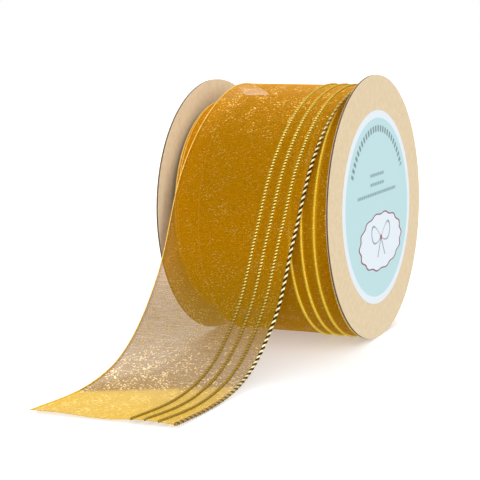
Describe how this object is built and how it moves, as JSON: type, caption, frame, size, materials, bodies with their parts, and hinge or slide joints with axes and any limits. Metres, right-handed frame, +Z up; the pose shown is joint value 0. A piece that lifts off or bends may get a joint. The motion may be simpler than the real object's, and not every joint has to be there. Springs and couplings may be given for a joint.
{
  "type": "ribbon spool",
  "caption": "Round paper spool of wide sheer gold ribbon with metallic stripes, a braided edge, a sagging last turn and a free tail that runs down to the surface it stands on.",
  "frame": {"origin": "on the spool's axis, midway between the flanges' outer faces, 49 mm above the surface it stands on", "axes": "+X along the axis out of the labelled flange, +Z up, -Y the way the tail runs"},
  "size_m": [0.0723, 0.175, 0.0981],
  "materials": {
    "core_paper": "matt, spiral wound",
    "grey_board": "matt, cut edge",
    "kraft_paper": "matt, fine fibres",
    "label_paper": "matt printed paper",
    "clear_tape": "matt film",
    "gold_organza": "sheer, shimmering plain weave",
    "metallic_braid": "twisted metallic thread",
    "metallic_stripe": "twisted metallic thread",
    "selvage_thread": "fine smooth thread"
  },
  "bodies": {
    "loose_ribbon": {"tail_cloth": "gold_organza", "tail_edge_braid": "metallic_braid", "tail_inner_stripe": "metallic_stripe", "tail_middle_stripe": "metallic_stripe", "tail_outer_stripe": "metallic_stripe", "tail_selvage": "selvage_thread", "turn_cloth": "gold_organza", "turn_edge_braid": "metallic_braid", "turn_inner_stripe": "metallic_stripe", "turn_middle_stripe": "metallic_stripe", "turn_outer_stripe": "metallic_stripe", "turn_selvage": "selvage_thread"},
    "spool": {"core_inner_ply": "core_paper", "core_middle_ply": "core_paper", "core_outer_ply": "core_paper", "flange_label": "label_paper", "left_flange_board": "grey_board", "left_flange_inner_liner": "kraft_paper", "left_flange_outer_liner": "kraft_paper", "right_flange_board": "grey_board", "right_flange_inner_liner": "kraft_paper", "right_flange_outer_liner": "kraft_paper", "start_tape": "clear_tape", "wound_edge_braid": "metallic_braid", "wound_ribbon": "gold_organza", "wound_stripe_threads": "metallic_stripe"}
  },
  "joints": [
    {"name": "spool_spin", "type": "hinge", "parent": "loose_ribbon", "child": "spool", "pos_m": [0, 0, 0], "axis": [1, 0, 0], "continuous": true}
  ]
}
